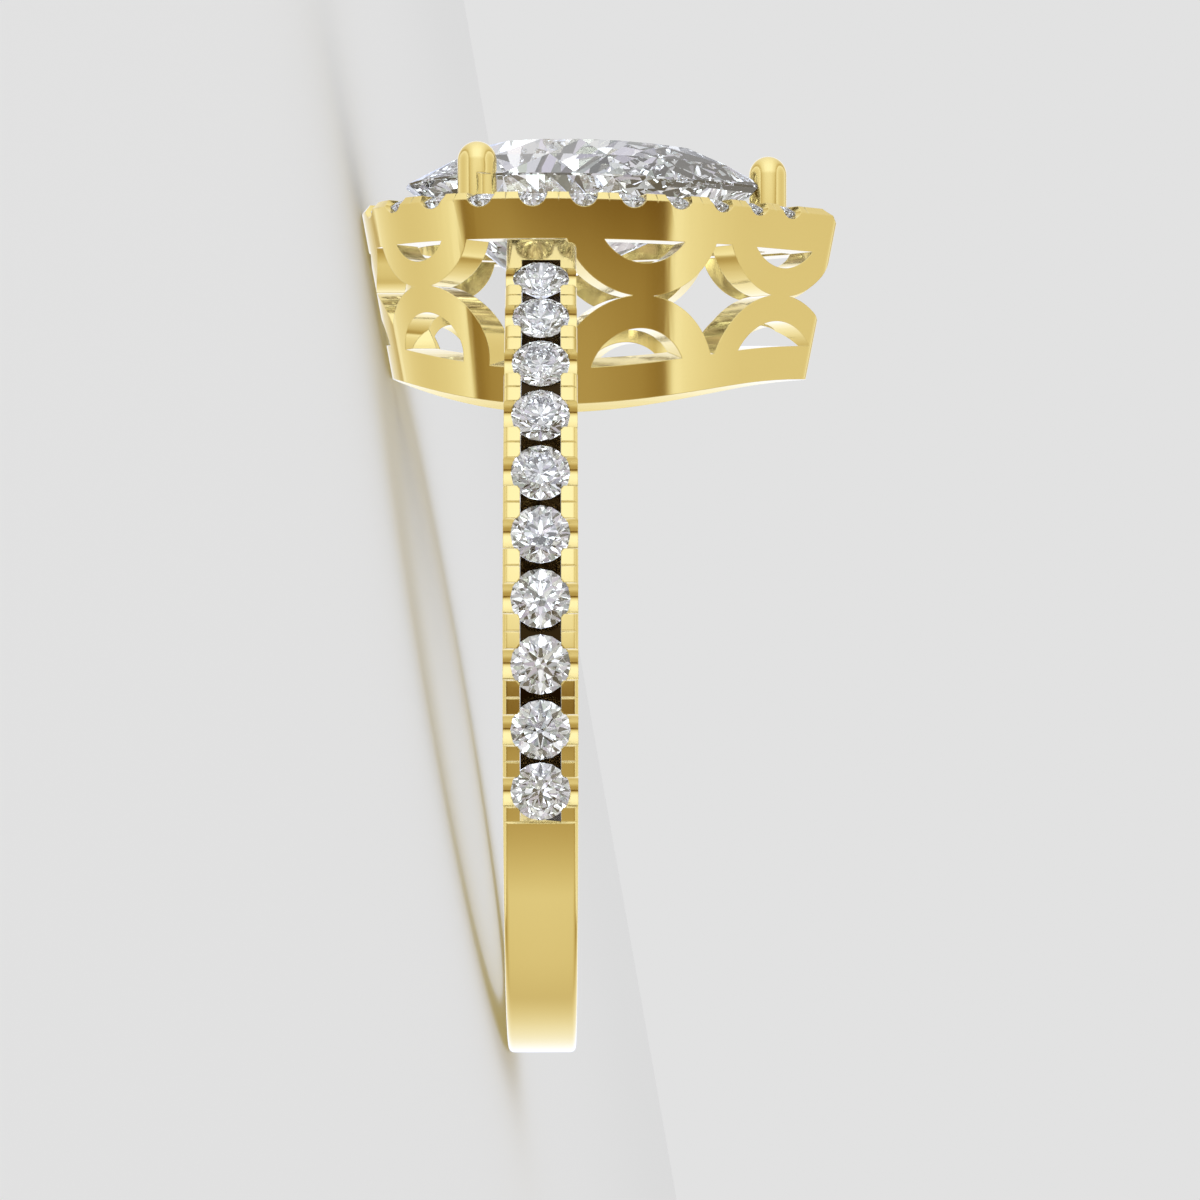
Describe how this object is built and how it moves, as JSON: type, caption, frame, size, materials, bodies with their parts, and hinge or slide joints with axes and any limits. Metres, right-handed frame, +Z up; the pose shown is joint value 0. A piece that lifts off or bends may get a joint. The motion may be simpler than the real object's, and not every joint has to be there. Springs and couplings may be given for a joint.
{
  "type": "halo ring",
  "caption": "Yellow gold halo ring: a pear-cut stone in three round prongs, a halo of small stones on a pierced gallery, and stones set along both shoulders.",
  "frame": {"origin": "middle of the bounding box's underside: the ring lies on its side on the ground plane", "axes": "+Z up; the head points to -X and the shank's lowest point to +X; the finger axis leans about 10 degrees from +Z towards +X; the pear's tip points up; the ring is symmetric about the XZ plane"},
  "size_m": [0.0254, 0.0216, 0.0131],
  "materials": {
    "gold": "polished 18 ct yellow gold",
    "centre_gem": "faceted and polished, clear",
    "small_gems": "faceted and polished, clear"
  },
  "bodies": {
    "root": {"ring_metal": "gold", "centre_stone": "centre_gem", "halo_stone_01": "small_gems", "halo_stone_02": "small_gems", "halo_stone_03": "small_gems", "halo_stone_04": "small_gems", "halo_stone_05": "small_gems", "halo_stone_06": "small_gems", "halo_stone_07": "small_gems", "halo_stone_08": "small_gems", "halo_stone_09": "small_gems", "halo_stone_10": "small_gems", "halo_stone_11": "small_gems", "halo_stone_12": "small_gems", "halo_stone_13": "small_gems", "halo_stone_14": "small_gems", "halo_stone_15": "small_gems", "halo_stone_16": "small_gems", "halo_stone_17": "small_gems", "halo_stone_18": "small_gems", "halo_stone_19": "small_gems", "halo_stone_20": "small_gems", "halo_stone_21": "small_gems", "halo_stone_22": "small_gems", "halo_stone_23": "small_gems", "halo_stone_24": "small_gems", "shank_stone_01": "small_gems", "shank_stone_02": "small_gems", "shank_stone_03": "small_gems", "shank_stone_04": "small_gems", "shank_stone_05": "small_gems", "shank_stone_06": "small_gems", "shank_stone_07": "small_gems", "shank_stone_08": "small_gems", "shank_stone_09": "small_gems", "shank_stone_10": "small_gems", "shank_stone_11": "small_gems", "shank_stone_12": "small_gems", "shank_stone_13": "small_gems", "shank_stone_14": "small_gems", "shank_stone_15": "small_gems", "shank_stone_16": "small_gems", "shank_stone_17": "small_gems", "shank_stone_18": "small_gems", "shank_stone_19": "small_gems", "shank_stone_20": "small_gems"}
  },
  "joints": []
}
